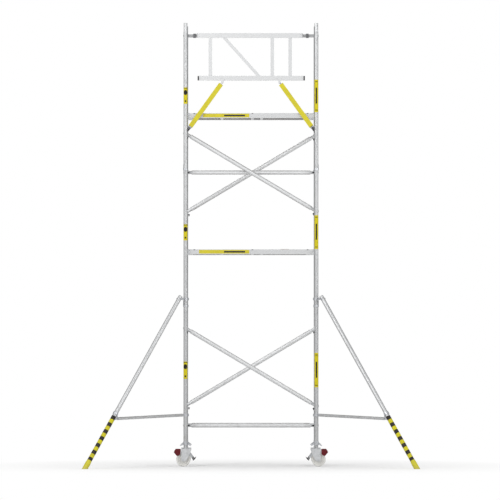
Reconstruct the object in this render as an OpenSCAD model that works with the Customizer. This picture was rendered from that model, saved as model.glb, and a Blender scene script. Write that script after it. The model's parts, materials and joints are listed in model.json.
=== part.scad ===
// Mobile tower scaffold: three ladder frames high, two hatch platforms,
// one front guardrail, two front outriggers, four adjustable braked castors.
// +Z up, ground at Z = 0, front towards -Y, millimetres.

/* [Tower] */
// Half the distance between left and right post centres
half_bay = 940; // [600:10:1500]
// Distance between front and rear post centres
depth = 700; // [600:10:1400]
// Distance between rungs
rung_pitch = 280; // [230:5:300]
// Height of the lowest rung
low_rung_z = 585; // [500:5:700]
// Post outer radius
post_r = 28.5; // [22:0.5:32]
// Post wall
post_wall = 2; // [1.5:0.5:4]
// Rung radius
rung_r = 15; // [12:0.5:20]
// Brace tube radius
brace_r = 30; // [20:0.5:32]

/* [Platforms] */
// Platform side beam height
beam_h = 71; // [50:1:100]
// Platform side beam thickness
beam_t = 25; // [15:1:40]

/* [Guardrail] */
// Guardrail profile height
rail_h = 68; // [40:1:80]
// Guardrail profile thickness
rail_t = 30; // [20:1:40]
// Guardrail strut width
strut_w = 66; // [40:1:70]

/* [Outriggers] */
// Outrigger direction from the tower's long side
swing = 43; // [20:1:60]
// Outrigger outer tube radius
out_r = 30; // [22:0.5:32]

/* [Castors] */
// Castor wheel radius
wheel_r = 100; // [75:1:110]
// Castor trail
trail = 32; // [20:1:50]

/* [Hidden] */
$fn = 64;
yF = 299;
yR = yF + depth;
z0 = low_rung_z - 220;
fh = 7 * rung_pitch;
bore_r = post_r - post_wall;
spig_r = bore_r - 0.1;
top_r = bore_r - 0.5;
yD = 82;
yH = 145;
gy = yF + 18;
zp_lo = low_rung_z + 9 * rung_pitch;
zp_hi = low_rung_z + 16 * rung_pitch;
function rz(k) = low_rung_z + (20 - k) * rung_pitch;
hinge_y = yR - 118;
hatch_x0 = 170;
hatch_x1 = 800;
hatch_y0 = yF + 112;
o_r0 = 96;
o_z0 = 2438;
o_len = 2970;
o_tilt = asin(1772 / 2970);
o_pin_z = o_z0 - 44 * cos(o_tilt);
b_ang = atan2(37, 1278);

// ---------- helpers ----------
module tube(ro, ri, h) {
  difference() {
    cylinder(r = ro, h = h);
    translate([0, 0, -1]) cylinder(r = ri, h = h + 2);
  }
}
module ycyl(r, l) { rotate([90, 0, 0]) cylinder(r = r, h = l, center = true); }
module side(s) { if (s < 0) mirror([1, 0, 0]) children(); else children(); }
// a 2D outline in X and Z, extruded along Y and centred on it
module xz(t) { rotate([90, 0, 0]) translate([0, 0, -t / 2]) linear_extrude(height = t) children(); }

// ---------- end frames ----------
module frame_unit(s, lvl) {
  zb = z0 + lvl * fh;
  // two posts, drilled for the joint pins
  for (y = [yF, yR]) {
    difference() {
      translate([s * half_bay, y, zb + 0.2]) tube(post_r, bore_r, fh - 0.4);
      if (lvl > 0) translate([s * half_bay + s * 25, y, zb + 40]) rotate([0, 90, 0]) cylinder(r = 5, h = 20, center = true);
    }
  }
  // seven rungs, saddle-cut against the posts
  for (k = [0 : 6]) {
    difference() {
      translate([s * half_bay, yF + 14, zb + 220 + k * rung_pitch]) rotate([-90, 0, 0]) tube(rung_r, rung_r - 2, depth - 28);
      for (y = [yF, yR]) translate([s * half_bay, y, zb + 180 + k * rung_pitch]) cylinder(r = post_r + 0.1, h = 80);
    }
  }
}
module frame_spigots() {
  for (s = [-1, 1]) for (y = [yF, yR]) for (l = [1 : 3])
    translate([s * half_bay, y, z0 + l * fh - 120]) difference() {
      // the top ones are turned down above the shoulder
      rotate_extrude() polygon(concat([[spig_r - 3, 0], [spig_r, 0]],
        l == 3 ? [[spig_r, 120], [top_r, 120], [top_r, 241]] : [[spig_r, 241]],
        [[spig_r - 1.5, 245], [spig_r - 3, 245]]));
      translate([s * 25, 0, 160]) rotate([0, 90, 0]) cylinder(r = 5, h = 20, center = true);
    }
}
module frame_lock_collars() {
  // a sleeve round the top of each lower post, with the pin of its spring clip
  for (s = [-1, 1]) for (y = [yF, yR]) for (l = [1 : 2])
    translate([s * half_bay, y, z0 + l * fh]) {
      difference() {
        union() {
          translate([0, 0, -38]) rotate_extrude() polygon([[post_r + 0.1, 0], [post_r + 3, 0], [post_r + 6, 4], [post_r + 6, 34], [post_r + 3, 38], [post_r + 0.1, 38]]);
          translate([s * (post_r + 3), 0, 16]) cube([5, 16, 48], center = true);
          translate([s * (post_r + 3), 0, 40]) rotate([0, 90, 0]) cylinder(r = 11, h = 5, center = true);
        }
        cylinder(r = post_r + 0.1, h = 200, center = true);
      }
      translate([s * (post_r - 1), 0, 40]) rotate([0, 90, 0]) cylinder(r = 4.6, h = 12, center = true);
    }
}

// ---------- braces ----------
// tube from rung to rung; ends stop where the claws begin
module brace_tube(xa, za, xb, zb, y) {
  dx = xb - xa;
  dz = zb - za;
  l = sqrt(dx * dx + dz * dz);
  translate([xa, y, za]) rotate([0, atan2(dx, dz), 0]) translate([0, 0, 86]) tube(brace_r, brace_r - 2.5, l - 172);
}
module claw_at(x, z, y, ang) {
  // ang is the brace's direction above +X
  translate([x, y, z]) {
    difference() {
      union() {
        xz(26) circle(r = 36);
        rotate([0, 90 - ang, 0]) translate([0, 0, 22]) cylinder(r = 22, h = 64);
        rotate([0, 90 - ang, 0]) translate([0, 0, 86]) cylinder(r = brace_r - 2.6, h = 26);
      }
      ycyl(rung_r + 0.3, 80);
      // mouth towards the ground
      translate([0, 0, -40]) cube([2 * rung_r + 0.6, 80, 80], center = true);
    }
  }
}
module trigger_at(x, z, y, s, dx, dz) {
  translate([x - s * dx, y, z + dz]) {
    ycyl(12, 34);
    translate([0, 0, -14]) cube([8, 20, 20], center = true);
  }
}
// q is the side of the brace that the trigger stands on
module face_trigger_at(x, z, y, s, q) {
  translate([x - s * 42, y + q * 22.2, z]) {
    translate([0, q * 6, 0]) ycyl(12, 12);
    translate([-s * 15, q * 4, 0]) cube([20, 8, 9], center = true);
  }
}
dz4 = 4 * rung_pitch;
da = atan2(dz4, 2 * half_bay);
module brace_claws() {
  for (s = [-1, 1]) {
    a0 = s < 0 ? 0 : 180;
    claw_at(s * half_bay, rz(20), yF + yH, a0);
    claw_at(s * half_bay, rz(20), yR - yH, a0);
    claw_at(s * half_bay, rz(7), yF + yH, a0);
  }
  for (k = [5, 15]) {
    claw_at(-half_bay, rz(k), yF + yD, -da);
    claw_at(half_bay, rz(k + 4), yF + yD, 180 - da);
    claw_at(half_bay, rz(k), yR - yD, 180 + da);
    claw_at(-half_bay, rz(k + 4), yR - yD, da);
  }
}
module brace_triggers() {
  for (s = [-1, 1]) {
    face_trigger_at(s * half_bay, rz(20), yF + yH, s, -1);
    face_trigger_at(s * half_bay, rz(20), yR - yH, s, 1);
    face_trigger_at(s * half_bay, rz(7), yF + yH, s, -1);
  }
  for (k = [5, 15]) {
    trigger_at(-half_bay, rz(k), yF + yD, -1, 28, -60);
    trigger_at(half_bay, rz(k + 4), yF + yD, 1, 42, -36);
    trigger_at(half_bay, rz(k), yR - yD, 1, 28, -60);
    trigger_at(-half_bay, rz(k + 4), yR - yD, -1, 42, -36);
  }
}

// ---------- platforms ----------
module platform_frame(zr) {
  zt = zr + 12;
  for (y = [yF + 48, yR - 48 - beam_t]) {
    // channel side beam with a ledge for the deck
    translate([-880, y, zt - beam_h]) difference() {
      cube([1760, beam_t, beam_h]);
      translate([-1, 2.5, 2.5]) cube([1762, beam_t - 5, beam_h - 5]);
    }
  }
  yi0 = yF + 48 + beam_t + 0.1;
  yl = depth - 96 - 2 * beam_t - 0.2;
  for (x = [-879, -440, 0, hatch_x0 - 35, hatch_x1 - 5, 839]) {
    translate([x, yi0, zt - beam_h + 4]) difference() {
      cube([40, yl, beam_h - 4 - 18.3]);
      translate([2, -1, 2]) cube([36, yl + 2, beam_h - 4 - 18.3 - 4]);
    }
  }
}
module platform_deck(zr) {
  zt = zr + 12;
  y0 = yF + 48 + beam_t + 0.3;
  y1 = yR - 48 - beam_t - 0.3;
  difference() {
    translate([-878, y0, zt - 18]) cube([1756, y1 - y0, 15]);
    translate([hatch_x0 - 5, hatch_y0 - 5, zt - 30]) cube([hatch_x1 - hatch_x0 + 10, hinge_y - hatch_y0 + 14, 40]);
  }
}
module trapdoor(zr) {
  zt = zr + 12;
  // panel, hinge barrels, lifting ring and the stiffening battens under it
  translate([hatch_x0, hatch_y0, zt - 18]) cube([hatch_x1 - hatch_x0, hinge_y - hatch_y0 - 8, 15]);
  for (x = [hatch_x0 + 60, hatch_x1 - 140]) {
    translate([x, hinge_y, zt - 4]) rotate([0, 90, 0]) cylinder(r = 7, h = 80);
    translate([x, hinge_y - 40, zt - 3]) cube([80, 38, 3]);
  }
  difference() {
    translate([(hatch_x0 + hatch_x1) / 2 - 60, hatch_y0 + 25, zt - 3]) cube([120, 30, 8]);
    translate([(hatch_x0 + hatch_x1) / 2 - 48, hatch_y0 + 33, zt - 2.9]) cube([96, 14, 20]);
  }
  for (x = [hatch_x0 + 12, hatch_x1 - 37])
    translate([x, hatch_y0 + 40, zt - 36]) cube([25, hinge_y - hatch_y0 - 90, 17.9]);
}
module platform_hooks() {
  for (zr = [zp_lo, zp_hi]) for (s = [-1, 1]) for (y = [yF + 48 + beam_t / 2, yR - 48 - beam_t / 2])
    translate([s * half_bay, y, zr]) side(s) difference() {
      union() {
        xz(beam_t) polygon([[-59.8, 12], [-59.8, 12 - beam_h], [-24, 12 - beam_h], [-20, -6], [0, 0], [20, -6], [25, 0], [19, 18], [0, 26], [-22, 20]]);
        xz(beam_t) circle(r = 25);
      }
      ycyl(rung_r + 0.3, 60);
      translate([0, 0, -30]) cube([2 * rung_r + 0.6, 60, 60], center = true);
      translate([-40, 0, -10]) ycyl(6, 60);
    }
}

// ---------- guardrail ----------
module guardrail_frame() {
  // rails, stiles, one diagonal and the two lugs that carry the struts
  for (q = [[-767, 6158, 1500], [-746, 5543, 1501]])
    translate([q[0], gy - rail_t / 2, q[1]]) difference() {
      cube([q[2], rail_t, rail_h]);
      translate([-1, 2.5, 2.5]) cube([q[2] + 2, rail_t - 5, rail_h - 5]);
    }
  for (x = [-584, 307, 564])
    translate([x - 25, gy - 13, 5543 + rail_h + 0.1]) difference() {
      cube([50, 26, 6158 - 5543 - rail_h - 0.2]);
      translate([2, 2, -1]) cube([46, 22, 700]);
    }
  difference() {
    translate([-136, gy, 5885]) rotate([0, -42, 0]) translate([-22, -12, -450]) difference() {
      cube([44, 24, 900]);
      translate([2, 2, -1]) cube([40, 20, 902]);
    }
    translate([-900, gy - 50, 6157.9]) cube([1800, 100, 300]);
    translate([-900, gy - 50, 5300]) cube([1800, 100, 5611.1 - 5300]);
  }
  for (s = [-1, 1]) {
    for (y = [-1, 1]) {
      translate([s * 410, gy + y * 18.1, 5530]) xz(6) difference() {
        polygon([[-24, 46], [24, 46], [16, -26], [-16, -26]]);
        translate([0, -10]) circle(r = 6.1);
      }
      translate([s * 410, gy + y * 23.2, 5520]) ycyl(9, 3.8);
    }
    // pivot pin
    translate([s * 410, gy, 5520]) ycyl(6, 48);
  }
}
module guardrail_hooks() {
  // arm behind the post and a claw over the top rung
  for (s = [-1, 1]) {
    xe = s < 0 ? 767 : 733;
    side(s) {
      difference() {
        union() {
          translate([xe - 60, gy + rail_t / 2 + 0.1, 6165]) cube([half_bay - xe + 60, 18, 46]);
          translate([half_bay, gy + rail_t / 2 + 9.1, 6188]) xz(18) circle(r = 34);
        }
        translate([half_bay, gy + 20, rz(0)]) ycyl(rung_r + 0.3, 80);
        translate([half_bay, gy + 20, rz(0) - 30]) cube([2 * rung_r + 0.6, 80, 60], center = true);
      }
      // end plug of the rail
      translate([xe + 0.1, gy - 13, 6161]) cube([14, 26, 62]);
    }
  }
}
module guardrail_latches() {
  // sprung sleeve on each hook arm
  for (s = [-1, 1]) {
    side(s) difference() {
      translate([791, gy - 6, 6158]) cube([38, 46, 60]);
      translate([790, gy + rail_t / 2, 6164.9]) cube([40, 18.2, 46.2]);
    }
  }
}
module guardrail_end_caps() {
  translate([-767, gy - 14, 5545]) cube([20.9, 28, 64]);
  translate([755.1, gy - 14, 5545]) cube([20.9, 28, 64]);
}
module guardrail_strut(s) {
  // pivot under the rail, lower hook cups the rung from inside and below
  px = 410;
  pz = 5520;
  hx = half_bay;
  hz = rz(5);
  l = sqrt((hx - px) * (hx - px) + (pz - hz) * (pz - hz));
  a = atan2(hx - px, pz - hz);
  side(s) translate([px, gy, pz]) rotate([0, 180 - a, 0]) {
    // pivot eye and neck
    difference() {
      union() {
        ycyl(13, 29);
        cylinder(r = 12, h = 36);
      }
      ycyl(6.06, 60);
    }
    // hollow rectangular tube with a drain hole at its lower end
    difference() {
      translate([-strut_w / 2, -15, 34]) cube([strut_w, 30, 751]);
      translate([2.5 - strut_w / 2, -12.5, 38]) cube([strut_w - 5, 25, 743]);
      translate([0, 20, 770]) ycyl(3, 30);
    }
    // stepped end
    translate([0, 0, 784]) cylinder(r = 24, h = 22);
    translate([0, 0, 792]) cylinder(r = 27, h = 8);
    // lower hook
    translate([0, 0, 803]) cylinder(r = 19, h = 33);
    translate([0, 26, l]) difference() {
      union() {
        xz(14) circle(r = 27);
        xz(14) translate([-16, -98]) square([32, 80]);
      }
      ycyl(rung_r + 0.5, 80);
      translate([-30, 0, 0]) cube([60, 80, 2 * rung_r + 2], center = true);
    }
    translate([0, 13, l - 78]) cube([32, 16, 30], center = true);
  }
}

// ---------- outriggers ----------
module out_frame(s) { side(s) translate([half_bay, yF, 0]) rotate([0, 0, -swing]) children(); }
module leg_axis() { translate([o_r0, 0, o_z0]) rotate([0, 180 - o_tilt, 0]) children(); }
module outrigger_tube(s) {
  // inner tube, runs on inside the striped sleeve
  out_frame(s) leg_axis() difference() {
    union() {
      tube(out_r, out_r - 2.5, 2600);
      translate([0, 0, -5]) cylinder(r = out_r - 1, h = 5.1);
    }
    translate([0, 0, 44]) ycyl(6.5, 100);
  }
}
module outrigger_leg(s) { out_frame(s) leg_axis() translate([0, 0, 2125]) tube(out_r + 3, out_r + 0.1, 810); }
module outrigger_foot(s) {
  out_frame(s) difference() {
    leg_axis() union() {
      translate([0, 0, 2935.2]) cylinder(r = out_r + 8, h = 150);
      translate([0, 0, 2895]) cylinder(r1 = out_r + 4.5, r2 = out_r + 8, h = 40.2);
    }
    leg_axis() translate([0, 0, 2800]) cylinder(r = out_r + 3.1, h = 135.3);
    translate([1900, 0, -150]) cube([400, 400, 300], center = true);
  }
}
module outrigger_brace(s) {
  // from the lower clamp at the post to the saddle on the tube
  out_frame(s) {
    translate([62, 0, 737]) rotate([0, 90 + b_ang, 0]) tube(21, 18.5, 1238);
  }
}
module clamp_ring(h) {
  difference() {
    union() {
      cylinder(r = 36, h = h, center = true);
      // split ears with the bolt
      translate([-36, 0, 0]) cube([40, 22, h], center = true);
    }
    cylinder(r = post_r + 0.1, h = h + 2, center = true);
    translate([-44, 0, 0]) cube([60, 4, h + 2], center = true);
  }
}
module outrigger_clamps(s) {
  out_frame(s) {
    // upper clamp, arm and the two lugs beside the tube head
    translate([0, 0, o_pin_z]) {
      clamp_ring(40);
      difference() {
        union() {
          translate([33, -12, -14]) cube([34, 24, 28]);
          translate([60, -40, -14]) cube([14, 80, 28]);
          for (y = [-40, 31]) translate([60, y, -14]) cube([78, 9, 28]);
        }
        cylinder(r = post_r + 1, h = 100, center = true);
        leg_clear(-o_pin_z);
      }
    }
    leg_axis() translate([0, 0, 44]) ycyl(6.4, 96);
    // lower clamp with the socket of the brace
    translate([0, 0, 737]) {
      clamp_ring(40);
      difference() {
        union() {
          translate([33, -14, -16]) cube([26, 28, 32]);
          translate([58, 0, 0]) rotate([0, 90 + b_ang, 0]) cylinder(r = 18.3, h = 50);
        }
        cylinder(r = post_r + 1, h = 100, center = true);
      }
    }
    // saddle on the tube, holding the brace's outer end
    difference() {
      union() {
        leg_axis() translate([0, 0, 2056]) cylinder(r = out_r + 7, h = 40);
        xz(24) polygon([[1302, 684], [1340, 684], [1352, 712], [1330, 790], [1300, 770], [1302, 722]]);
        translate([1306, 0, 737 - 1244 * tan(b_ang)]) rotate([0, -90 + b_ang, 0]) cylinder(r = 18.3, h = 56);
      }
      leg_axis() translate([0, 0, 1900]) cylinder(r = out_r + 0.1, h = 600);
      leg_axis() translate([0, 0, 2100]) cylinder(r = out_r + 4, h = 400);
    }
  }
}
module leg_clear(dz) { translate([0, 0, dz]) leg_axis() translate([0, 0, -60]) cylinder(r = out_r + 0.5, h = 400); }

// ---------- castors and jacks ----------
module corner(s, y) { side(s) translate([half_bay, y, 0]) children(); }
module jack_spindle(s, y) {
  corner(s, y) difference() {
    union() {
      // threaded tube: a crest and a root every 8 mm
      rotate_extrude() polygon(concat(
        [[0, 262], [34, 262], [34, 268], [24.8, 268]],
        [for (i = [0 : 27]) each [[24.8, 270 + i * 8], [spig_r, 272 + i * 8], [spig_r, 274.5 + i * 8], [24.8, 276.5 + i * 8]]],
        [[24.8, 494], [spig_r, 496], [spig_r, 710], [0, 710]]));
      translate([0, 0, 236]) cylinder(r = 10, h = 27);
      translate([0, 0, 226]) cylinder(r = 17, h = 13.6);
    }
    translate([0, 0, 300]) cylinder(r = 21, h = 500);
  }
}
module jack_nut(s, y) {
  corner(s, y) difference() {
    union() {
      rotate_extrude() polygon([[20, 308], [33, 308], [36, 312], [36, 334], [31.5, 338], [31.5, 364.9], [20, 364.9]]);
      xz(10) polygon([[20, 340], [46, 330], [80, 302], [77, 289], [44, 304], [20, 312]]);
      mirror([1, 0, 0]) xz(10) polygon([[20, 340], [46, 330], [80, 302], [77, 289], [44, 304], [20, 312]]);
    }
    translate([0, 0, 200]) cylinder(r = spig_r + 0.1, h = 300);
  }
}
module castor_fork(s, y) {
  corner(s, y) {
    difference() {
      union() {
        // crown, bearing housing and the two side plates
        translate([-2, 0, 248]) cube([144, 76, 12], center = true);
        translate([0, 0, 240.4]) cylinder(r = 30, h = 20.8);
        for (q = [-35.5, 35.5]) translate([0, q, 0])
          xz(5) polygon([[-74, 254], [70, 254], [66, 228], [52, 210], [60, 150], [62, 96], [50, 76], [18, 72], [-8, 84], [-34, 120], [-60, 180], [-74, 226]]);
      }
      translate([0, 0, 200]) cylinder(r = 10.06, h = 100);
      translate([trail, 0, wheel_r]) ycyl(8.2, 200);
      translate([40, 0, 212]) ycyl(6.2, 200);
    }
    // axle bolt with its heads, and the brake's pivot pin
    translate([trail, 0, wheel_r]) {
      ycyl(8, 92);
      for (q = [-1, 1]) translate([0, q * 42.2, 0]) rotate([90, 0, 0]) cylinder(r = 13, h = 8, center = true, $fn = 6);
    }
    translate([40, 0, 212]) {
      ycyl(6, 80);
      for (q = [-1, 1]) translate([0, q * 40.2, 0]) ycyl(9, 4);
    }
  }
}
module castor_wheel(s, y) {
  corner(s, y) translate([trail, 0, wheel_r]) rotate([90, 0, 0]) rotate_extrude()
    polygon([[8.06, -24], [24, -24], [26, -14], [70, -10], [76, -21], [94, -23], [98.5, -18], [wheel_r, -8], [wheel_r, 8], [98.5, 18], [94, 23], [76, 21], [70, 10], [26, 14], [24, 24], [8.06, 24]]);
}
module castor_brake(s, y) {
  // rocker: two side arms on the pivot pin, lock pedal outside, release pedal inside
  corner(s, y) difference() {
    union() {
      for (q = [-28.2, 28.2]) translate([0, q, 0])
        xz(5) polygon([[40, 226], [104, 236], [154, 236], [167, 203], [122, 150], [92, 158], [66, 186], [34, 198], [-36, 178], [-66, 150], [-112, 92], [-120, 104], [-78, 166], [-44, 202]]);
      xz(61.4) polygon([[112, 236], [154, 236], [167, 203], [140, 172], [118, 205]]);
      xz(61.4) polygon([[-104, 92], [-112, 84], [-122, 92], [-146, 116], [-141, 121], [-118, 106]]);
    }
    translate([40, 0, 212]) ycyl(6.06, 200);
  }
}

color([0.78, 0.79, 0.8]) frame_unit(-1, 0);  // frame_bottom_left
color([0.78, 0.79, 0.8]) frame_unit(1, 0);  // frame_bottom_right
color([0.78, 0.79, 0.8]) frame_unit(-1, 1);  // frame_middle_left
color([0.78, 0.79, 0.8]) frame_unit(1, 1);  // frame_middle_right
color([0.78, 0.79, 0.8]) frame_unit(-1, 2);  // frame_top_left
color([0.78, 0.79, 0.8]) frame_unit(1, 2);  // frame_top_right
color([0.74, 0.75, 0.76]) frame_spigots();
color([0.6, 0.6, 0.62]) frame_lock_collars();
color([0.8, 0.81, 0.82]) brace_tube(-half_bay, rz(20), half_bay, rz(20), yF + yH);  // brace_bottom_front
color([0.8, 0.81, 0.82]) brace_tube(-half_bay, rz(20), half_bay, rz(20), yR - yH);  // brace_bottom_rear
color([0.8, 0.81, 0.82]) brace_tube(-half_bay, rz(7), half_bay, rz(7), yF + yH);  // brace_middle_front
color([0.8, 0.81, 0.82]) brace_tube(-half_bay, rz(15), half_bay, rz(19), yF + yD);  // diagonal_lower_front
color([0.8, 0.81, 0.82]) brace_tube(-half_bay, rz(19), half_bay, rz(15), yR - yD);  // diagonal_lower_rear
color([0.8, 0.81, 0.82]) brace_tube(-half_bay, rz(5), half_bay, rz(9), yF + yD);  // diagonal_upper_front
color([0.8, 0.81, 0.82]) brace_tube(-half_bay, rz(9), half_bay, rz(5), yR - yD);  // diagonal_upper_rear
color([0.66, 0.67, 0.68]) brace_claws();
color([0.08, 0.08, 0.08]) brace_triggers();
color([0.76, 0.77, 0.78]) platform_frame(zp_lo);  // platform_lower_frame
color([0.76, 0.77, 0.78]) platform_frame(zp_hi);  // platform_upper_frame
color([0.35, 0.25, 0.18]) platform_deck(zp_lo);  // platform_lower_deck
color([0.35, 0.25, 0.18]) platform_deck(zp_hi);  // platform_upper_deck
color([0.4, 0.28, 0.2]) trapdoor(zp_lo);  // trapdoor_lower
color([0.4, 0.28, 0.2]) trapdoor(zp_hi);  // trapdoor_upper
color([0.7, 0.71, 0.72]) platform_hooks();
color([0.8, 0.81, 0.82]) guardrail_frame();
color([0.65, 0.66, 0.67]) guardrail_hooks();
color([0.06, 0.06, 0.06]) guardrail_end_caps();
color([0.3, 0.3, 0.31]) guardrail_latches();
color([0.85, 0.76, 0.08]) guardrail_strut(-1);  // guardrail_strut_left
color([0.85, 0.76, 0.08]) guardrail_strut(1);  // guardrail_strut_right
color([0.78, 0.79, 0.8]) outrigger_tube(-1);  // outrigger_tube_left
color([0.78, 0.79, 0.8]) outrigger_tube(1);  // outrigger_tube_right
color([0.85, 0.8, 0.1]) outrigger_leg(-1);  // outrigger_leg_left
color([0.85, 0.8, 0.1]) outrigger_leg(1);  // outrigger_leg_right
color([0.8, 0.75, 0.1]) outrigger_foot(-1);  // outrigger_foot_left
color([0.8, 0.75, 0.1]) outrigger_foot(1);  // outrigger_foot_right
color([0.68, 0.69, 0.7]) outrigger_brace(-1);  // outrigger_brace_left
color([0.68, 0.69, 0.7]) outrigger_brace(1);  // outrigger_brace_right
color([0.6, 0.6, 0.62]) outrigger_clamps(-1);  // outrigger_clamps_left
color([0.6, 0.6, 0.62]) outrigger_clamps(1);  // outrigger_clamps_right
color([0.7, 0.71, 0.72]) jack_spindle(-1, yF);  // jack_spindle_front_left
color([0.7, 0.71, 0.72]) jack_spindle(1, yF);  // jack_spindle_front_right
color([0.7, 0.71, 0.72]) jack_spindle(-1, yR);  // jack_spindle_rear_left
color([0.7, 0.71, 0.72]) jack_spindle(1, yR);  // jack_spindle_rear_right
color([0.62, 0.63, 0.64]) jack_nut(-1, yF);  // jack_nut_front_left
color([0.62, 0.63, 0.64]) jack_nut(1, yF);  // jack_nut_front_right
color([0.62, 0.63, 0.64]) jack_nut(-1, yR);  // jack_nut_rear_left
color([0.62, 0.63, 0.64]) jack_nut(1, yR);  // jack_nut_rear_right
color([0.66, 0.67, 0.68]) castor_fork(-1, yF);  // castor_fork_front_left
color([0.66, 0.67, 0.68]) castor_fork(1, yF);  // castor_fork_front_right
color([0.66, 0.67, 0.68]) castor_fork(-1, yR);  // castor_fork_rear_left
color([0.66, 0.67, 0.68]) castor_fork(1, yR);  // castor_fork_rear_right
color([0.8, 0.8, 0.78]) castor_wheel(-1, yF);  // castor_wheel_front_left
color([0.8, 0.8, 0.78]) castor_wheel(1, yF);  // castor_wheel_front_right
color([0.8, 0.8, 0.78]) castor_wheel(-1, yR);  // castor_wheel_rear_left
color([0.8, 0.8, 0.78]) castor_wheel(1, yR);  // castor_wheel_rear_right
color([0.5, 0.02, 0.05]) castor_brake(-1, yF);  // castor_brake_front_left
color([0.5, 0.02, 0.05]) castor_brake(1, yF);  // castor_brake_front_right
color([0.5, 0.02, 0.05]) castor_brake(-1, yR);  // castor_brake_rear_left
color([0.5, 0.02, 0.05]) castor_brake(1, yR);  // castor_brake_rear_right
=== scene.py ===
import bpy, bmesh, json, math
from mathutils import Vector, Matrix


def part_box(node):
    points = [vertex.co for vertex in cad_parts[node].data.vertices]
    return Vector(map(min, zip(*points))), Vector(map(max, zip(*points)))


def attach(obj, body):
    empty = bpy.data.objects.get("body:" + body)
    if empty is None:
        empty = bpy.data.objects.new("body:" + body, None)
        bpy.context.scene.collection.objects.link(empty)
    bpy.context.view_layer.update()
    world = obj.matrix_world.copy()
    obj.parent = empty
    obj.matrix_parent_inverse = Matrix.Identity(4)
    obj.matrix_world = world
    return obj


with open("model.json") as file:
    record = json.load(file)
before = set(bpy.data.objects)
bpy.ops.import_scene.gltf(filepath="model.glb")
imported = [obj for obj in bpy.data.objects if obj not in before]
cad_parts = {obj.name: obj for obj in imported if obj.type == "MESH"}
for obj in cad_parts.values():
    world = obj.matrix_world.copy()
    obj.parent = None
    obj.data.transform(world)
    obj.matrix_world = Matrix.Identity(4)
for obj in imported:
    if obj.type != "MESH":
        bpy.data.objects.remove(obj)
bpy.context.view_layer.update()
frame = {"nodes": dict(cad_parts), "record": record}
nodes = frame["nodes"]
scene = bpy.context.scene

# ---------------------------------------------------------------- camera
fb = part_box("frame_bottom_left")
YF = fb[0][1] + 0.0285          # front post centre plane
YR = fb[1][1] - 0.0285
XP = -(fb[0][0] + fb[1][0]) / 2  # post centre, half bay
POST = 0.0285
cam_d = bpy.data.cameras.new("camera")
cam_d.sensor_width = 36.0
cam_d.lens = 315.9
cam_d.clip_start = 1.0
cam_d.clip_end = 400.0
cam = bpy.data.objects.new("camera", cam_d)
bpy.context.collection.objects.link(cam)
cam.location = (-0.0136, YF - 63.0, 1.785)
cam.rotation_euler = (math.radians(90 + 1.2015), 0, 0)
scene.camera = cam
scene.view_settings.view_transform = "Standard"
scene.view_settings.look = "None"


# ---------------------------------------------------------------- materials
class M:
    """Small builder for a procedural material. Coordinates are the row frame, in metres."""

    def __init__(self, name):
        self.m = bpy.data.materials.new(name)
        self.m.use_nodes = True
        self.t = self.m.node_tree
        self.t.nodes.clear()
        self.out = self.t.nodes.new("ShaderNodeOutputMaterial")
        self.b = self.t.nodes.new("ShaderNodeBsdfPrincipled")
        self.t.links.new(self.b.outputs[0], self.out.inputs[0])
        self.co = self.t.nodes.new("ShaderNodeTexCoord").outputs["Object"]

    def link(self, a, b):
        self.t.links.new(a, b)

    def put(self, sock, v):
        if hasattr(v, "is_output"):
            self.link(v, sock)
        else:
            sock.default_value = v

    def scaled(self, s, co=None):
        n = self.t.nodes.new("ShaderNodeMapping")
        n.inputs["Scale"].default_value = s
        self.link(co or self.co, n.inputs["Vector"])
        return n.outputs[0]

    def noise(self, scale, co=None, detail=3.0, rough=0.55):
        n = self.t.nodes.new("ShaderNodeTexNoise")
        n.inputs["Scale"].default_value = scale
        n.inputs["Detail"].default_value = detail
        n.inputs["Roughness"].default_value = rough
        self.link(co or self.co, n.inputs["Vector"])
        return n.outputs["Fac"]

    def math(self, op, a, b=0.0, clamp=False):
        n = self.t.nodes.new("ShaderNodeMath")
        n.operation = op
        n.use_clamp = clamp
        self.put(n.inputs[0], a)
        self.put(n.inputs[1], b)
        return n.outputs[0]

    def remap(self, v, a, b, c=0.0, d=1.0):
        n = self.t.nodes.new("ShaderNodeMapRange")
        for i, x in enumerate((a, b, c, d)):
            n.inputs[i + 1].default_value = x
        self.link(v, n.inputs[0])
        return n.outputs[0]

    def mix(self, f, a, b):
        n = self.t.nodes.new("ShaderNodeMix")
        n.data_type = "RGBA"
        self.put(n.inputs[0], f)
        self.put(n.inputs[6], a if hasattr(a, "is_output") else (*a, 1))
        self.put(n.inputs[7], b if hasattr(b, "is_output") else (*b, 1))
        return n.outputs[2]

    def xyz(self):
        n = self.t.nodes.new("ShaderNodeSeparateXYZ")
        self.link(self.co, n.inputs[0])
        return n.outputs

    def dot(self, v):
        n = self.t.nodes.new("ShaderNodeVectorMath")
        n.operation = "DOT_PRODUCT"
        self.link(self.co, n.inputs[0])
        n.inputs[1].default_value = v
        return n.outputs["Value"]

    def bump(self, h, dist, strength=0.6):
        n = self.t.nodes.new("ShaderNodeBump")
        n.inputs["Strength"].default_value = strength
        n.inputs["Distance"].default_value = dist
        self.link(h, n.inputs["Height"])
        self.link(n.outputs[0], self.b.inputs["Normal"])

    def set(self, color=None, rough=None, metal=None, **kw):
        if color is not None:
            self.put(self.b.inputs["Base Color"], color if hasattr(color, "is_output") else (*color, 1))
        if rough is not None:
            self.put(self.b.inputs["Roughness"], rough)
        if metal is not None:
            self.put(self.b.inputs["Metallic"], metal)
        for k, v in kw.items():
            self.b.inputs[k.replace("_", " ").title().replace("Ior", "IOR")].default_value = v
        return self.m


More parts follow.
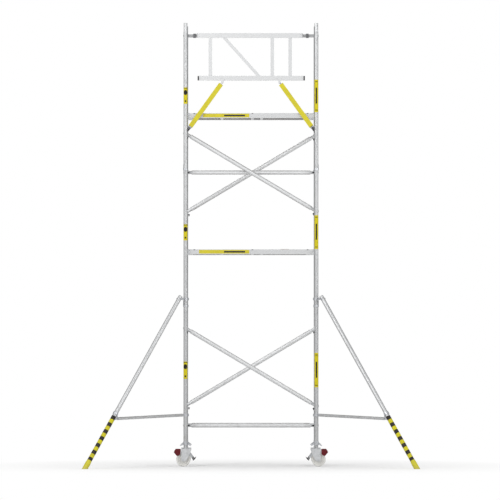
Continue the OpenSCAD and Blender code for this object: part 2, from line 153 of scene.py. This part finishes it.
def aluminium(name, col, drawn, dark=0.94, rough=(0.30, 0.46), rail=False, quiet=0.5):
    """Mill-finish tube: fine lines along `drawn` scale, handling stains, small scuffs."""
    m = M(name)
    lines = m.noise(1.0, m.scaled(drawn), 2.0, 0.6)
    if rail:
        # ladder frames: posts are drawn along Z, rungs along Y
        y = m.xyz()[1]
        rung = m.math("LESS_THAN", m.math("ABSOLUTE", m.math("SUBTRACT", y, (YF + YR) / 2)), (YR - YF) / 2 - 0.0295)
        l2 = m.noise(1.0, m.scaled((900, 9, 900)), 2.0, 0.6)
        lines = m.math("ADD", m.math("MULTIPLY", l2, rung), m.math("MULTIPLY", lines, m.math("SUBTRACT", 1.0, rung)))
    stain = m.remap(m.noise(7.0, None, 5.0, 0.62), 0.42, 0.70)
    fine = m.noise(260.0, None, 2.0)
    scuff = m.remap(m.noise(34.0, m.scaled((1, 1, 0.35)), 6.0, 0.72), 0.62, 0.70)
    z = m.xyz()[2]
    low = m.remap(z, 1.1, 0.2)
    grime = m.math("MULTIPLY", low, m.remap(m.noise(16.0, None, 5.0, 0.7), 0.45, 0.7), True)
    d = tuple(c * dark for c in col)
    c = m.mix(stain, col, d)
    c = m.mix(m.math("MULTIPLY", m.remap(lines, 0.35, 0.65), 0.10 * quiet), c, tuple(x * 0.8 for x in col))
    c = m.mix(m.math("MULTIPLY", scuff, 0.30 * quiet), c, tuple(x * 0.62 for x in col))
    c = m.mix(m.math("MULTIPLY", grime, 0.32), c, (0.20, 0.18, 0.155))
    r = m.math("ADD", m.remap(stain, 0, 1, rough[0], (rough[0] + rough[1]) / 2), m.math("MULTIPLY", scuff, 0.08))
    m.bump(m.math("ADD", lines, m.math("MULTIPLY", fine, 0.5)), 0.00012, 0.5 * quiet)
    return m.set(c, r, 0.92)


def cast(name, col, rough=(0.42, 0.6), metal=0.85):
    """As-cast or zinc-plated: spangle, grain and darker random patches."""
    m = M(name)
    v = m.t.nodes.new("ShaderNodeTexVoronoi")
    v.inputs["Scale"].default_value = 190.0
    m.link(m.co, v.inputs["Vector"])
    sp = m.remap(v.outputs["Distance"], 0.1, 0.7)
    grain = m.noise(620.0, None, 2.0)
    patch = m.remap(m.noise(28.0, None, 5.0, 0.66), 0.40, 0.68)
    c = m.mix(patch, col, tuple(x * 0.74 for x in col))
    c = m.mix(m.math("MULTIPLY", sp, 0.22), c, tuple(min(1, x * 1.18) for x in col))
    m.bump(m.math("ADD", grain, m.math("MULTIPLY", sp, 0.4)), 0.00018, 0.6)
    return m.set(c, m.remap(patch, 0, 1, rough[0], rough[1]), metal)


def paint_nodes(m, col, wear_col=(0.34, 0.33, 0.31), wear=0.72):
    """Sprayed paint: orange peel, sun-faded patches, chips to bare metal."""
    fade = m.remap(m.noise(11.0, None, 4.0), 0.38, 0.68)
    chips = m.remap(m.noise(120.0, m.scaled((1, 1, 0.6)), 6.0, 0.74), wear, wear + 0.02)
    c = m.mix(fade, col, tuple(x * 0.86 for x in col)) if not hasattr(col, "is_output") else m.mix(m.math("MULTIPLY", fade, 0.18), col, (0.10, 0.09, 0.07))
    c = m.mix(m.math("MULTIPLY", chips, 0.75), c, wear_col)
    peel = m.noise(420.0, None, 2.0)
    m.bump(m.math("SUBTRACT", peel, m.math("MULTIPLY", chips, 0.9)), 0.00016, 0.5)
    return c, m.remap(fade, 0, 1, 0.30, 0.44)


def painted(name, col, **kw):
    m = M(name)
    c, r = paint_nodes(m, col, **kw)
    m.set(c, r, 0.0)
    m.b.inputs["Coat Weight"].default_value = 0.15
    return m.m


def plastic(name, col, rough=(0.45, 0.6)):
    m = M(name)
    sh = m.remap(m.noise(22.0, None, 4.0), 0.4, 0.7)
    grain = m.noise(900.0, None, 2.0)
    scr = m.remap(m.noise(90.0, m.scaled((1, 0.2, 1)), 6.0, 0.75), 0.64, 0.68)
    c = m.mix(sh, col, tuple(x * 0.84 for x in col))
    c = m.mix(m.math("MULTIPLY", scr, 0.35), c, tuple(x * 0.6 + 0.03 for x in col))
    m.bump(m.math("SUBTRACT", grain, scr), 0.0001, 0.6)
    return m.set(c, m.remap(sh, 0, 1, rough[0], rough[1]), 0.0)


def plywood(name):
    """Film-faced birch ply: brown resin film with a wire-mesh anti-slip print, raw plies on the edge."""
    m = M(name)
    x, y, z = m.xyz()
    def wave(c, pitch):
        return m.math("SINE", m.math("MULTIPLY", c, 2 * math.pi / pitch))
    a = wave(m.math("ADD", x, y), 0.0085)
    b = wave(m.math("SUBTRACT", x, y), 0.0085)
    mesh = m.remap(m.math("MAXIMUM", a, b), 0.72, 0.98)
    worn = m.remap(m.noise(5.0, None, 5.0, 0.66), 0.48, 0.70)
    film = m.mix(worn, (0.085, 0.045, 0.026), (0.15, 0.095, 0.060))
    film = m.mix(m.math("MULTIPLY", mesh, 0.28), film, (0.030, 0.018, 0.012))
    grain = m.noise(1.0, m.scaled((14, 240, 240)), 5.0, 0.65)
    ply = m.math("SINE", m.math("MULTIPLY", z, 2 * math.pi / 0.0028))
    edge = m.mix(m.remap(ply, -0.2, 0.2), (0.42, 0.27, 0.15), (0.24, 0.14, 0.075))
    edge = m.mix(m.math("MULTIPLY", grain, 0.4), edge, (0.18, 0.10, 0.05))
    # the piece's own normal, so that the faces keep their finish as a trapdoor swings
    g = m.t.nodes.new("ShaderNodeTexCoord")
    s = m.t.nodes.new("ShaderNodeSeparateXYZ")
    m.link(g.outputs["Normal"], s.inputs[0])
    up = m.math("GREATER_THAN", m.math("ABSOLUTE", s.outputs[2]), 0.5)
    c = m.mix(up, edge, film)
    m.bump(m.math("ADD", m.math("MULTIPLY", mesh, up), m.math("MULTIPLY", grain, 0.3)), 0.0004, 0.6)
    return m.set(c, m.remap(worn, 0, 1, 0.42, 0.62), 0.0)


def threaded(name, col):
    m = M(name)
    oil = m.remap(m.noise(40.0, None, 4.0), 0.42, 0.68)
    fine = m.noise(1.0, m.scaled((300, 300, 1400)), 2.0)
    c = m.mix(oil, col, tuple(x * 0.55 for x in col))
    m.bump(fine, 0.0001, 0.5)
    return m.set(c, m.remap(oil, 0, 1, 0.26, 0.44), 0.95)


mats = {
    "aluminium_tube": aluminium("aluminium_tube", (0.45, 0.455, 0.46), (900, 900, 9), rough=(0.46, 0.60), rail=True),
    "spigot_aluminium": aluminium("spigot_aluminium", (0.50, 0.505, 0.51), (900, 900, 12), rough=(0.42, 0.56)),
    "brace_aluminium": aluminium("brace_aluminium", (0.64, 0.645, 0.65), (9, 900, 420), rough=(0.62, 0.72), quiet=0.3),
    "cast_aluminium": cast("cast_aluminium", (0.60, 0.61, 0.62)),
    "platform_aluminium": aluminium("platform_aluminium", (0.55, 0.555, 0.56), (8, 900, 900), rough=(0.46, 0.60)),
    "guardrail_aluminium": aluminium("guardrail_aluminium", (0.58, 0.585, 0.59), (9, 900, 600), rough=(0.46, 0.60)),
    "outrigger_aluminium": aluminium("outrigger_aluminium", (0.50, 0.505, 0.51), (60, 60, 14), dark=0.97, rough=(0.50, 0.60), quiet=0.15),
    "zinc_steel": cast("zinc_steel", (0.50, 0.51, 0.53), (0.34, 0.5), 0.9),
    "spindle_steel": threaded("spindle_steel", (0.60, 0.61, 0.62)),
    "castor_steel": cast("castor_steel", (0.58, 0.59, 0.60), (0.30, 0.46), 0.9),
    "black_plastic": plastic("black_plastic", (0.022, 0.022, 0.024)),
    "plywood": plywood("plywood"),
    "yellow_paint": painted("yellow_paint", (0.50, 0.44, 0.006)),
    "dark_casting": cast("dark_casting", (0.11, 0.112, 0.118), (0.48, 0.62), 0.4),
    "grey_casting": cast("grey_casting", (0.36, 0.365, 0.37), (0.44, 0.58), 0.8),
    "wheel_plastic": plastic("wheel_plastic", (0.58, 0.575, 0.55), (0.38, 0.52)),
}

# striped leg: yellow with black bands, measured down the leg's own axis
leg_axis = {}
for side, s in (("left", -1), ("right", 1)):
    j = [j for j in frame["record"]["behaviour"]["joints"] if j["name"] == "outrigger_leg_slide_" + side][0]
    a = Vector(j["axis"]).normalized()
    tb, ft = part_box("outrigger_tube_" + side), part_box("outrigger_foot_" + side)
    sw = math.radians(43)
    head = Vector((s * (XP + 0.096 * math.cos(sw)), YF - 0.096 * math.sin(sw), 2.438))
    leg_axis[side] = (head, a)
    m = M("striped_paint_" + side)
    d = m.math("SUBTRACT", m.dot(tuple(a)), head.dot(a))
    ph = m.math("FRACT", m.math("DIVIDE", m.math("SUBTRACT", d, 2.125), 0.120))
    black = m.math("LESS_THAN", ph, 0.5)
    inside = m.math("MULTIPLY", m.math("GREATER_THAN", d, 2.120), m.math("LESS_THAN", d, 2.92))
    base = m.mix(m.math("MULTIPLY", black, inside), (0.50, 0.45, 0.008), (0.014, 0.011, 0.009))
    c, r = paint_nodes(m, base)
    m.set(c, m.math("ADD", r, 0.20), 0.0, specular_ior_level=0.22)
    mats["striped_" + side] = m.m
    m = M("foot_rubber_" + side)
    ring = m.math("SINE", m.math("MULTIPLY", m.math("SUBTRACT", m.dot(tuple(a)), head.dot(a)), 2 * math.pi / 0.009))
    dust = m.remap(m.xyz()[2], 0.05, 0.0)
    dn = m.math("MULTIPLY", dust, m.remap(m.noise(60.0, None, 5.0, 0.7), 0.35, 0.65), True)
    c = m.mix(m.noise(30.0), (0.50, 0.455, 0.014), (0.42, 0.375, 0.014))
    c = m.mix(m.math("MULTIPLY", dn, 0.6), c, (0.22, 0.20, 0.15))
    m.bump(m.math("ADD", m.math("MULTIPLY", ring, 0.5), m.noise(500.0)), 0.0005, 0.5)
    mats["foot_" + side] = m.set(c, 0.62, 0.0)

# guardrail struts: yellow along the tube, grey eye and neck, dark lower end with a light ring
for side, s in (("left", -1), ("right", 1)):
    j = [j for j in frame["record"]["behaviour"]["joints"] if j["name"] == "guardrail_strut_pivot_" + side][0]
    pv = Vector(j["pos_m"])
    a = Vector((s * 0.530, 0, -0.735)).normalized()
    m = M("strut_paint_" + side)
    d = m.math("SUBTRACT", m.dot(tuple(a)), pv.dot(a))
    c, r = paint_nodes(m, (0.50, 0.44, 0.006))
    c = m.mix(m.math("LESS_THAN", d, 0.0345), c, (0.40, 0.405, 0.41))
    c = m.mix(m.math("GREATER_THAN", d, 0.7835), c, (0.060, 0.060, 0.064))
    ring = m.math("MULTIPLY", m.math("GREATER_THAN", d, 0.7915), m.math("LESS_THAN", d, 0.8005))
    c = m.mix(ring, c, (0.50, 0.505, 0.51))
    bare = m.math("MAXIMUM", m.math("LESS_THAN", d, 0.0345), ring)
    m.set(c, r, m.math("MULTIPLY", bare, 0.85))
    mats["strut_" + side] = m.m

# brake rocker: red lock pedal outside, zinc arms, grey release pedal with a dark tip
for side, s in (("left", -1), ("right", 1)):
    m = M("brake_" + side)
    xo = m.math("SUBTRACT", m.math("MULTIPLY", m.xyz()[0], float(s)), XP)
    red = m.math("GREATER_THAN", xo, 0.070)
    tip = m.math("LESS_THAN", xo, -0.098)
    patch = m.noise(30.0, None, 4.0)
    grey = m.mix(patch, (0.50, 0.51, 0.52), (0.36, 0.37, 0.38))
    rd = m.mix(patch, (0.115, 0.003, 0.008), (0.075, 0.002, 0.005))
    c = m.mix(red, grey, rd)
    c = m.mix(tip, c, (0.045, 0.045, 0.048))
    coat = m.math("ADD", red, tip, True)
    m.bump(m.noise(500.0), 0.00015, 0.5)
    mats["brake_" + side] = m.set(c, m.remap(patch, 0.3, 0.7, 0.50, 0.62), m.math("MULTIPLY", m.math("SUBTRACT", 1.0, coat), 0.85), specular_ior_level=0.25)

slot_of = {p["node"]: p["material_slot"] for p in frame["record"]["subparts"]}
for name, o in nodes.items():
    side = "left" if name.endswith("left") else "right"
    sl = slot_of[name]
    key = {"striped_paint": "striped_" + side, "yellow_rubber": "foot_" + side, "brake_red": "brake_" + side}.get(sl, sl)
    if name.startswith("guardrail_strut"):
        key = "strut_" + side
    if name == "guardrail_latches":
        key = "dark_casting"
    if name == "guardrail_hooks":
        key = "grey_casting"
    o.data.materials.clear()
    o.data.materials.append(mats[key])


# ---------------------------------------------------------------- mesh helpers
class Pile:
    """Collects vertices and faces of many small pieces that share a body and material."""

    def __init__(self):
        self.v, self.f = [], []

    def add(self, v, f):
        k = len(self.v)
        self.v += [tuple(p) for p in v]
        self.f += [tuple(i + k for i in q) for q in f]

    def loop(self, pts, outs, axis, w, rip=0.0, m=8):
        """A closed bead along pts; outs are the outward directions."""
        v, f, n = [], [], len(pts)
        for i, (p, o) in enumerate(zip(pts, outs)):
            r = w * (1 + rip * math.sin(i * 2.4))
            for j in range(m):
                t = 2 * math.pi * j / m
                v.append(Vector(p) + r * (math.cos(t) * Vector(o) + math.sin(t) * Vector(axis)))
        for i in range(n):
            for j in range(m):
                f.append((i * m + j, ((i + 1) % n) * m + j, ((i + 1) % n) * m + (j + 1) % m, i * m + (j + 1) % m))
        self.add(v, f)

    def lathe(self, at, axis, prof, n=24, ring=False):
        """prof is [(radius, height)] along axis; closed at both ends, or joined into a ring with a hole."""
        z = Vector(axis).normalized()
        x = z.orthogonal().normalized()
        y = z.cross(x)
        v, f = [], []
        for r, h in prof:
            for i in range(n):
                t = 2 * math.pi * i / n
                v.append(Vector(at) + r * (math.cos(t) * x + math.sin(t) * y) + h * z)
        for k in range(len(prof) - 1):
            for i in range(n):
                f.append((k * n + i, k * n + (i + 1) % n, (k + 1) * n + (i + 1) % n, (k + 1) * n + i))
        if ring:
            k = len(prof) - 1
            for i in range(n):
                f.append((k * n + i, k * n + (i + 1) % n, (i + 1) % n, i))
        else:
            f.append(tuple(reversed(range(n))))
            f.append(tuple((len(prof) - 1) * n + i for i in range(n)))
        self.add(v, f)

    def rivet(self, at, axis, r=0.005, h=0.0022):
        self.lathe(at, axis, [(r, -0.0002), (r, 0.0004), (r * 0.92, h * 0.5), (r * 0.7, h * 0.85), (r * 0.35, h)], 16)

    def hexbolt(self, at, axis, af=0.017, h=0.007):
        self.lathe(at, axis, [(af * 0.66, -0.0002), (af * 0.66, 0.0012)], 24)
        self.lathe(at, axis, [(af * 0.577, 0.0012), (af * 0.577, h), (af * 0.49, h + 0.0011)], 6)

    def done(self, name, body, mat, smooth=True):
        me = bpy.data.meshes.new(name)
        me.from_pydata(self.v, [], self.f)
        bm = bmesh.new()
        bm.from_mesh(me)
        bmesh.ops.recalc_face_normals(bm, faces=bm.faces)
        for e in bm.edges:
            if len(e.link_faces) == 2 and e.calc_face_angle(0) > math.radians(38):
                e.smooth = False
        bm.to_mesh(me)
        bm.free()
        for p in me.polygons:
            p.use_smooth = smooth
        me.materials.append(mat)
        o = bpy.data.objects.new(name, me)
        bpy.context.collection.objects.link(o)
        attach(o, body)
        return o


weld_mat = cast("weld_bead", (0.62, 0.63, 0.64), (0.3, 0.42), 0.92)
steel_mat = cast("fastener_steel", (0.52, 0.53, 0.55), (0.28, 0.42), 0.95)

# ---------------------------------------------------------------- welds on the ladder frames
Z0, FH, PITCH = fb[0][2] - 0.0002, 1.96, 0.28
RR = 0.015
for side, s in (("left", -1), ("right", 1)):
    for lvl, nm in enumerate(("bottom", "middle", "top")):
        p = Pile()
        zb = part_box("frame_%s_%s" % (nm, side))[0][2] - 0.0002
        for k in range(7):
            zc = zb + 0.22 + k * PITCH
            for yp, sg in ((YF, 1), (YR, -1)):
                pts, outs = [], []
                for i in range(36):
                    t = 2 * math.pi * i / 36
                    cx = (RR + 0.0006) * math.cos(t)
                    pts.append((s * XP + cx, yp + sg * math.sqrt(POST ** 2 - cx ** 2) + sg * 0.0014, zc + (RR + 0.0006) * math.sin(t)))
                    outs.append((math.cos(t), 0, math.sin(t)))
                p.loop(pts, outs, (0, 1, 0), 0.0024, 0.12)
        p.done("frame_welds_%s_%s" % (nm, side), "tower", weld_mat)


# ---------------------------------------------------------------- stickers on the front posts
def sticker_mat(name, discs):
    """Yellow vinyl with plain black marks; discs are (z centre, half height, half width) in the row frame."""
    m = M(name)
    x, y, z = m.xyz()
    ax = m.math("SUBTRACT", m.math("ABSOLUTE", x), XP)
    mark = None
    for zc, hh, hw, rnd in discs:
        dz = m.math("DIVIDE", m.math("SUBTRACT", z, zc), hh)
        dx = m.math("DIVIDE", ax, hw)
        if rnd:
            q = m.math("LESS_THAN", m.math("ADD", m.math("MULTIPLY", dz, dz), m.math("MULTIPLY", dx, dx)), 1.0)
        else:
            q = m.math("LESS_THAN", m.math("MAXIMUM", m.math("ABSOLUTE", dz), m.math("ABSOLUTE", dx)), 1.0)
        mark = q if mark is None else m.math("MAXIMUM", mark, q)
    sun = m.remap(m.noise(14.0, None, 4.0), 0.4, 0.7)
    c = m.mix(sun, (0.50, 0.43, 0.006), (0.44, 0.375, 0.008))
    c = m.mix(mark, c, (0.007, 0.007, 0.007))
    sc = m.remap(m.noise(150.0, m.scaled((1, 1, 0.3)), 6.0, 0.75), 0.67, 0.69)
    c = m.mix(m.math("MULTIPLY", sc, 0.5), c, (0.45, 0.45, 0.44))
    m.bump(m.math("SUBTRACT", m.noise(300.0), sc), 0.0001, 0.4)
    return m.set(c, m.remap(sun, 0, 1, 0.55, 0.68), 0.0, specular_ior_level=0.22)


def sleeve(name, x0, y0, za, zb, r, mat, t=0.0004, arc=(0, 360), body="tower"):
    """A thin wrapped film on a post, with rounded ends."""
    v, f = [], []
    n = 48
    prof = [(r, za), (r + t, za + 0.0004), (r + t, zb - 0.0004), (r, zb)]
    for rr, z in prof:
        for i in range(n):
            a = math.radians(arc[0] + (arc[1] - arc[0]) * i / n)
            v.append((x0 + rr * math.cos(a), y0 + rr * math.sin(a), z))
    for k in range(3):
        for i in range(n):
            f.append((k * n + i, k * n + (i + 1) % n, (k + 1) * n + (i + 1) % n, (k + 1) * n + i))
    for i in range(n):
        f.append((3 * n + i, 3 * n + (i + 1) % n, (i + 1) % n, i))
    p = Pile()
    p.add(v, f)
    return p.done(name, body, mat)


spans = {"left": [(0.889, 1.140), (0.918, 1.151), (0.920, 1.158)], "right": [(0.770, 1.264), (0.794, 1.281), (0.801, 1.269)]}
for side, s in (("left", -1), ("right", 1)):
    marks, zz = [], []
    for lvl, (a, b) in enumerate(spans[side]):
        zb = Z0 + lvl * FH
        zz.append((zb + a, zb + b))
        if side == "left":
            marks.append((zb + b - 0.074, 0.036, 0.0265, True))
            marks.append((zb + a + 0.040, 0.014, 0.012, True))
            marks.append((zb + b - 0.012, 0.0045, 0.04, False))
        else:
            marks.append((zb + a + (b - a) * 0.51, 0.115, 0.010, False))
            marks.append((zb + b - 0.030, 0.0050, 0.018, False))
            marks.append((zb + a + 0.030, 0.0050, 0.018, False))
    mt = sticker_mat("post_label_" + side, marks)
    for lvl, (a, b) in enumerate(zz):
        sleeve("post_label_%s_%d" % (side, lvl), s * XP, YF, a, b, POST + 0.0001, mt)


# ---------------------------------------------------------------- platform labels, rivets
def plate(name, x0, x1, z0, z1, y, t, mat, body="tower", r=0.006):
    """A thin plate with rounded corners, facing -Y."""
    pts = []
    for cx, cz, a0 in ((x1 - r, z1 - r, 0), (x0 + r, z1 - r, 90), (x0 + r, z0 + r, 180), (x1 - r, z0 + r, 270)):
        for k in range(7):
            a = math.radians(a0 + 15 * k)
            pts.append((cx + r * math.cos(a), cz + r * math.sin(a)))
    n = len(pts)
    v = [(x, y, z) for x, z in pts] + [(x, y - t, z) for x, z in pts]
    f = [tuple(range(n)), tuple(reversed(range(n, 2 * n)))] + [(i, (i + 1) % n, n + (i + 1) % n, n + i) for i in range(n)]
    p = Pile()
    p.add(v, f)
    return p.done(name, body, mat, smooth=False)


label_y = painted("label_vinyl", (0.50, 0.43, 0.006), wear=0.72)
label_k = plastic("label_print", (0.008, 0.008, 0.008), (0.6, 0.7))
for lv, x0 in (("upper", -0.689), ("lower", -0.747)):
    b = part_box("platform_%s_frame" % lv)
    y, z0, z1 = b[0][1], b[0][2], b[1][2]
    plate("platform_label_" + lv, x0, -0.024, z0 + 0.010, z1 - 0.008, y, 0.0006, label_y)
    # a plain bar stands in for the printed mark
    plate("platform_mark_" + lv, -0.387, -0.085, z0 + 0.024, z1 - 0.023, y - 0.0006, 0.0003, label_k, r=0.004)
    for i, x in enumerate((-0.815, 0.022, 0.815)):
        plate("fascia_clip_%s_%d" % (lv, i), x - 0.011, x + 0.011, z1 - 0.0105, z1 - 0.0005, y, 0.0012, label_k, r=0.002)
    p = Pile()
    for x in (-0.86, -0.79, 0.0, 0.30, 0.791, 0.86):
        for dz in (0.018, 0.053):
            p.rivet((x, y, z0 + dz), (0, -1, 0), 0.0055, 0.0025)
            p.rivet((x, b[1][1], z0 + dz), (0, 1, 0), 0.0055, 0.0025)
    p.done("platform_rivets_" + lv, "tower", steel_mat)
    # deck screws, along both side beams
    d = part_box("platform_%s_deck" % lv)
    p = Pile()
    for i in range(10):
        x = d[0][0] + 0.05 + i * (d[1][0] - d[0][0] - 0.1) / 9
        for yy in (d[0][1] + 0.018, d[1][1] - 0.018):
            p.lathe((x, yy, d[1][2]), (0, 0, 1), [(0.006, -0.0002), (0.006, 0.0005), (0.0046, 0.0011), (0.0022, 0.0008), (0.0016, 0.0003)], 16)
    p.done("deck_screws_" + lv, "tower", steel_mat)
    # hinge leaf screws on the trapdoor
    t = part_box("trapdoor_" + lv)
    p = Pile()
    hz = d[1][2]
    for x in (t[0][0] + 0.06, t[1][0] - 0.14):
        for dx in (0.015, 0.065):
            p.lathe((x + dx, t[1][1] - 0.029, hz + 0.003), (0, 0, 1), [(0.0052, -0.0002), (0.0052, 0.0005), (0.004, 0.001), (0.0018, 0.0004)], 16)
    p.done("trapdoor_screws_" + lv, "trapdoor_" + lv, steel_mat)

# ---------------------------------------------------------------- guardrail welds and rivets
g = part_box("guardrail_frame")
GY = YF + 0.018
p = Pile()
for x in (-0.584, 0.307, 0.564):
    for z in (5.6112, 6.1578):
        pts, outs = [], []
        for (dx, dy), (ox, oy) in (((-1, -1), (-.7, -.7)), ((0, -1), (0, -1)), ((1, -1), (.7, -.7)), ((1, 0), (1, 0)), ((1, 1), (.7, .7)), ((0, 1), (0, 1)), ((-1, 1), (-.7, .7)), ((-1, 0), (-1, 0))):
            pts.append((x + dx * 0.0255, GY + dy * 0.0128, z))
            outs.append((ox, oy, 0))
        # refine to a rippled bead
        rp, ro = [], []
        for i in range(8):
            a, b2 = Vector(pts[i]), Vector(pts[(i + 1) % 8])
            oa, ob = Vector(outs[i]), Vector(outs[(i + 1) % 8])
            for k in range(5):
                rp.append(a.lerp(b2, k / 5))
                ro.append(oa.lerp(ob, k / 5).normalized())
        p.loop(rp, ro, (0, 0, 1), 0.0024, 0.15)
p.done("guardrail_welds", "tower", weld_mat)
p = Pile()
for x in (-0.745, 0.712):
    for z in (6.176, 6.208):
        p.rivet((x, GY - 0.015, z), (0, -1, 0), 0.0048, 0.0022)
for x in (-0.735, 0.742):
    for z in (5.561, 5.593):
        p.rivet((x, GY - 0.015, z), (0, -1, 0), 0.0048, 0.0022)
p.done("guardrail_rivets", "tower", steel_mat)

# ---------------------------------------------------------------- brace end rivets
p = Pile()
yD, yH = 0.082, 0.145
da = math.atan2(4 * PITCH, 2 * XP)
rz = lambda k: 0.585 + (20 - k) * PITCH
ends = []
for sx in (-1, 1):
    d = Vector((-sx, 0, 0))
    for k, y in ((20, YF + yH), (20, YR - yH), (7, YF + yH)):
        ends.append((Vector((sx * XP, y, rz(k))), d))
for k in (5, 15):
    for sx, kk, y, dz in ((-1, k, YF + yD, -1), (1, k + 4, YF + yD, 1), (1, k, YR - yD, -1), (-1, k + 4, YR - yD, 1)):
        ends.append((Vector((sx * XP, y, rz(kk))), Vector((-sx * math.cos(da), 0, dz * math.sin(da)))))
for c, d in ends:
    for q in (-1, 1):
        p.rivet(c + d * 0.100 + Vector((0, q * 0.0299, 0)), (0, q, 0), 0.0050, 0.0024)
p.done("brace_end_rivets", "tower", steel_mat)

# ---------------------------------------------------------------- outrigger bolts
for side, s in (("left", -1), ("right", 1)):
    sw = math.radians(43)
    u = Vector((s * math.cos(sw), -math.sin(sw), 0))     # outwards along the outrigger
    w = Vector((s * math.sin(sw), math.cos(sw), 0))      # sideways
    o0 = Vector((s * XP, YF, 0))
    p = Pile()
    for z in (2.4027, 0.737):
        for q in (-1, 1):
            p.hexbolt(o0 - u * 0.047 + w * (q * 0.011) + Vector((0, 0, z)), w * q, 0.013, 0.006)
    for q in (-1, 1):
        p.hexbolt(leg_axis[side][0] + leg_axis[side][1] * 0.044 + w * (q * 0.040), w * q, 0.019, 0.009)
        p.rivet(o0 + u * 1.322 + w * (q * 0.012) + Vector((0, 0, 0.706)), w * q, 0.007, 0.003)
    p.done("outrigger_bolts_" + side, "outrigger_" + side, steel_mat)

# ---------------------------------------------------------------- castor details
for end, y0 in (("front", YF), ("rear", YR)):
    for side, s in (("left", -1), ("right", 1)):
        nm = end + "_" + side
        c = Vector((s * (XP + 0.032), y0, 0.1))
        p = Pile()
        for q in (-1, 1):
            # bearing cover on the hub, with a lip, open around the axle
            p.lathe(c + Vector((0, q * 0.0239, 0)), (0, q, 0), [(0.0215, -0.001), (0.0215, 0.0008), (0.019, 0.0016), (0.0150, 0.0016), (0.0140, 0.0008), (0.0095, 0.0008), (0.0095, -0.001)], 40, ring=True)
        p.done("wheel_bearing_" + nm, "wheel_" + nm, steel_mat)
        p = Pile()
        for q in (-1, 1):
            p.lathe(c + Vector((0, q * 0.0380, 0)), (0, q, 0), [(0.0155, -0.0002), (0.0155, 0.0014), (0.0140, 0.0018)], 32)
        p.done("axle_washer_" + nm, "fork_" + nm, steel_mat)

# ---------------------------------------------------------------- floor and light
me = bpy.data.meshes.new("studio_floor")
R = 150.0
me.from_pydata([(R * math.cos(2 * math.pi * i / 96), R * math.sin(2 * math.pi * i / 96), 0) for i in range(96)], [], [tuple(range(96))])
floor = bpy.data.objects.new("studio_floor", me)
bpy.context.collection.objects.link(floor)
m = M("floor_paper")
x, y, z = m.xyz()
rad = m.math("SQRT", m.math("ADD", m.math("MULTIPLY", x, x), m.math("MULTIPLY", y, y)))
far = m.remap(rad, 1.5, 4.5)
em = m.t.nodes.new("ShaderNodeEmission")
em.inputs[0].default_value = (1, 1, 1, 1)
em.inputs[1].default_value = 1.0
mx = m.t.nodes.new("ShaderNodeMixShader")
m.set(m.mix(m.noise(3.0), (0.86, 0.86, 0.86), (0.84, 0.84, 0.84)), 0.8, 0.0)
m.link(far, mx.inputs[0])
m.link(m.b.outputs[0], mx.inputs[1])
m.link(em.outputs[0], mx.inputs[2])
m.link(mx.outputs[0], m.out.inputs[0])
me.materials.append(m.m)

w = bpy.data.worlds.new("studio")
scene.world = w
w.use_nodes = True
t = w.node_tree
t.nodes.clear()
out = t.nodes.new("ShaderNodeOutputWorld")
lit = t.nodes.new("ShaderNodeBackground")
seen = t.nodes.new("ShaderNodeBackground")
seen.inputs[0].default_value = (1, 1, 1, 1)
co = t.nodes.new("ShaderNodeTexCoord")
sep = t.nodes.new("ShaderNodeSeparateXYZ")
t.links.new(co.outputs["Generated"], sep.inputs[0])
ramp = t.nodes.new("ShaderNodeMapRange")
ramp.inputs[1].default_value = -0.85
ramp.inputs[2].default_value = 0.35
ramp.inputs[3].default_value = 0.92
ramp.inputs[4].default_value = 0.40
t.links.new(sep.outputs[1], ramp.inputs[0])
t.links.new(ramp.outputs[0], lit.inputs[1])
lp = t.nodes.new("ShaderNodeLightPath")
mx = t.nodes.new("ShaderNodeMixShader")
t.links.new(lp.outputs["Is Camera Ray"], mx.inputs[0])
t.links.new(lit.outputs[0], mx.inputs[1])
t.links.new(seen.outputs[0], mx.inputs[2])
t.links.new(mx.outputs[0], out.inputs[0])
lit.inputs[0].default_value = (1, 1, 1, 1)


def area(name, loc, target, size, power):
    l = bpy.data.lights.new(name, "AREA")
    l.shape = "RECTANGLE"
    l.size, l.size_y = size
    l.energy = power
    o = bpy.data.objects.new(name, l)
    bpy.context.collection.objects.link(o)
    o.location = loc
    o.rotation_euler = (Vector(target) - Vector(loc)).to_track_quat("-Z", "Y").to_euler()


area("key", (-7, -9, 9), (0, 0.5, 3), (6, 6), 700)
area("fill", (8, -8, 6), (0, 0.5, 3), (6, 6), 380)
area("top", (0, 2, 14), (0, 0.5, 2), (8, 5), 520)
